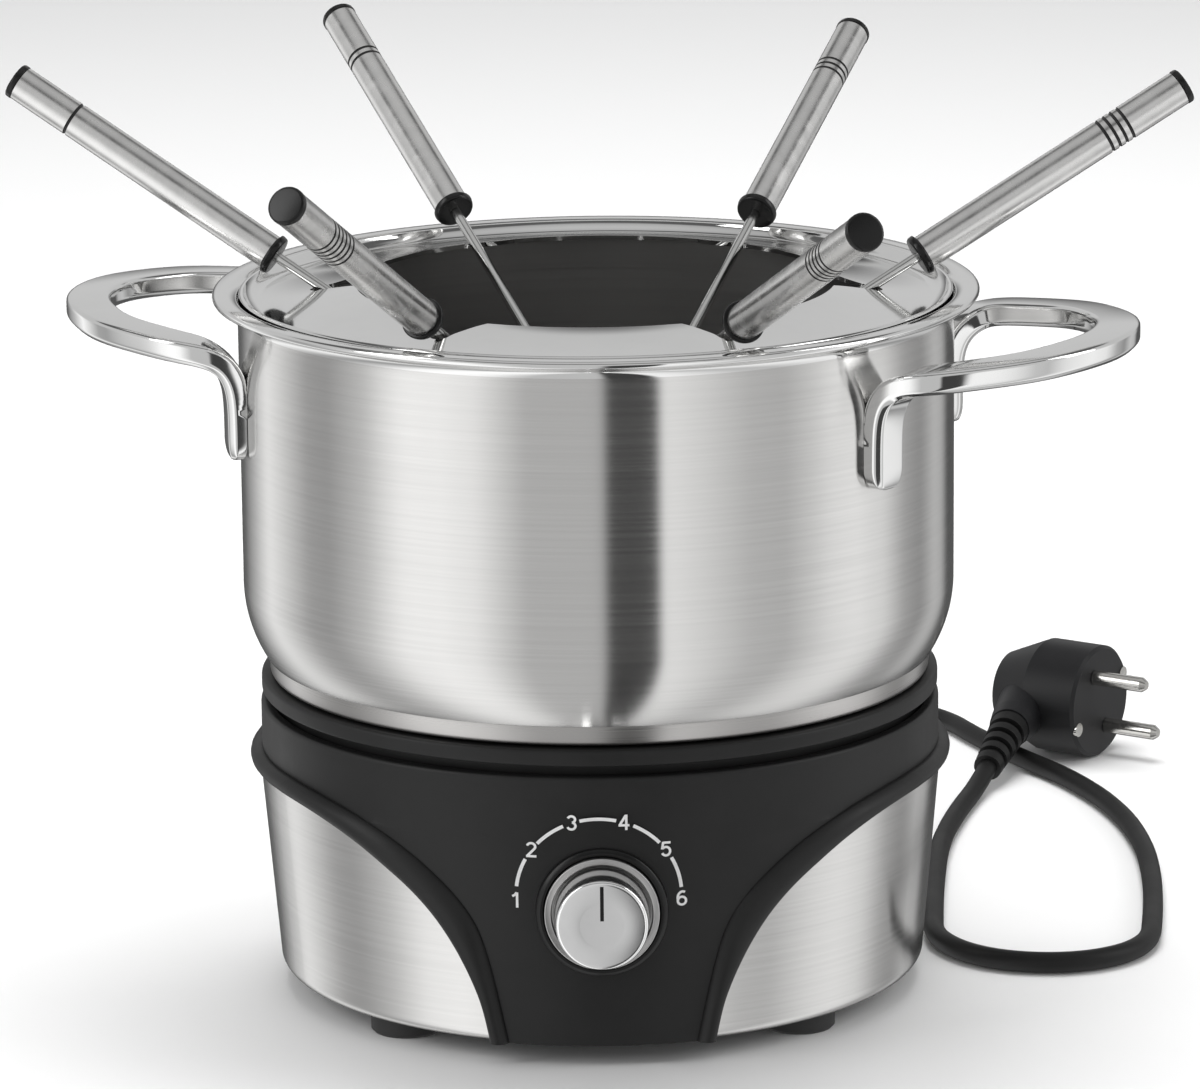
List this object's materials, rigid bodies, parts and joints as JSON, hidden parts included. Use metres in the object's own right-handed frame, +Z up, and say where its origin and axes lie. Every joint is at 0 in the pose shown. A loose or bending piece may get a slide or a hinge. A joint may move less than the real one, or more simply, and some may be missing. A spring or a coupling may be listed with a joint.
{
  "type": "electric fondue set",
  "caption": "Steel pot with loop handles and a slotted fork ring, on a heated drum base with a dial, mains lead and long forks.",
  "frame": {"origin": "on the table under the middle of the set, below the axis of the pot", "axes": "+Z up, -Y to the front where the dial is, +X to the right seen from the front"},
  "size_m": [0.3441, 0.4436, 0.2586],
  "materials": {
    "brushed_steel": "horizontally brushed",
    "pot_steel": "horizontally brushed, satin",
    "disc_steel": "satin, turned",
    "polished_steel": "mirror polished",
    "fork_steel": "satin",
    "fork_rod_steel": "polished",
    "fork_black": "satin",
    "black_plastic": "fine matte grain",
    "base_black": "matte",
    "foot_rubber": "matte",
    "zinc": "zinc plated",
    "plate_coating": "matte black coating",
    "element_steel": "heat tinted",
    "inner_white": "glass filled nylon",
    "copper": "bare copper",
    "brass": "nickel plated brass",
    "wire_sleeve": "woven glass sleeve",
    "chrome": "polished",
    "pointer_black": "filled groove",
    "cord_black": "matte sheath",
    "plug_black": "fine grain"
  },
  "bodies": {
    "base": {"drum_shell": "brushed_steel", "fascia": "black_plastic", "arch_bead": "black_plastic", "base_plate": "base_black", "foot_1": "foot_rubber", "foot_2": "foot_rubber", "foot_3": "foot_rubber", "foot_4": "foot_rubber", "foot_screws": "zinc", "heat_shield": "zinc", "hotplate_ring": "black_plastic", "hotplate": "plate_coating", "heating_element": "element_steel", "thermostat": "inner_white", "thermostat_bracket": "zinc", "thermostat_sensor": "copper", "thermal_fuse": "zinc", "terminal_block": "inner_white", "inner_wires": "wire_sleeve", "dial_seat": "black_plastic", "dial_bezel": "chrome", "cord_gland": "cord_black", "power_cord": "cord_black", "plug_body": "plug_black", "plug_pins": "zinc", "plug_clips": "brass", "plug_relief": "cord_black"},
    "dial": {"knob_cap": "chrome", "knob_pointer": "pointer_black", "knob_core": "black_plastic", "knob_shaft": "zinc"},
    "pot": {"pot_shell": "pot_steel", "pot_disc": "disc_steel", "handle_right": "polished_steel", "handle_left": "polished_steel"},
    "guide": {"fork_guide": "polished_steel"},
    "fork_1": {"fork1_tube": "fork_steel", "fork1_cap": "fork_black", "fork1_collar": "fork_black", "fork1_rod": "fork_rod_steel"},
    "fork_2": {"fork2_tube": "fork_steel", "fork2_cap": "fork_black", "fork2_collar": "fork_black", "fork2_rod": "fork_rod_steel"},
    "fork_3": {"fork3_tube": "fork_steel", "fork3_cap": "fork_black", "fork3_collar": "fork_black", "fork3_rod": "fork_rod_steel"},
    "fork_4": {"fork4_tube": "fork_steel", "fork4_cap": "fork_black", "fork4_collar": "fork_black", "fork4_rod": "fork_rod_steel"},
    "fork_5": {"fork5_tube": "fork_steel", "fork5_cap": "fork_black", "fork5_collar": "fork_black", "fork5_rod": "fork_rod_steel"},
    "fork_6": {"fork6_tube": "fork_steel", "fork6_cap": "fork_black", "fork6_collar": "fork_black", "fork6_rod": "fork_rod_steel"}
  },
  "joints": [
    {"name": "dial_turn", "type": "hinge", "parent": "base", "child": "dial", "pos_m": [0, -0.1, 0.0455], "axis": [0, 1, 0], "range_deg": [-106, 86]},
    {"name": "pot_lift", "type": "slide", "parent": "base", "child": "pot", "axis": [0, 0, 1], "range_m": [0, 0.12]},
    {"name": "guide_lift", "type": "slide", "parent": "pot", "child": "guide", "axis": [0, 0, 1], "range_m": [0, 0.08]},
    {"name": "fork_1_pull", "type": "slide", "parent": "guide", "child": "fork_1", "axis": [-0.819, 0.2158, 0.5317], "range_m": [0, 0.105]},
    {"name": "fork_2_pull", "type": "slide", "parent": "guide", "child": "fork_2", "axis": [-0.3975, 0.7511, 0.5271], "range_m": [0, 0.105]},
    {"name": "fork_3_pull", "type": "slide", "parent": "guide", "child": "fork_3", "axis": [0.3512, 0.812, 0.4662], "range_m": [0, 0.105]},
    {"name": "fork_4_pull", "type": "slide", "parent": "guide", "child": "fork_4", "axis": [0.8426, 0.198, 0.5008], "range_m": [0, 0.105]},
    {"name": "fork_5_pull", "type": "slide", "parent": "guide", "child": "fork_5", "axis": [0.3338, -0.838, 0.4316], "range_m": [0, 0.105]},
    {"name": "fork_6_pull", "type": "slide", "parent": "guide", "child": "fork_6", "axis": [-0.3684, -0.7857, 0.497], "range_m": [0, 0.105]}
  ]
}
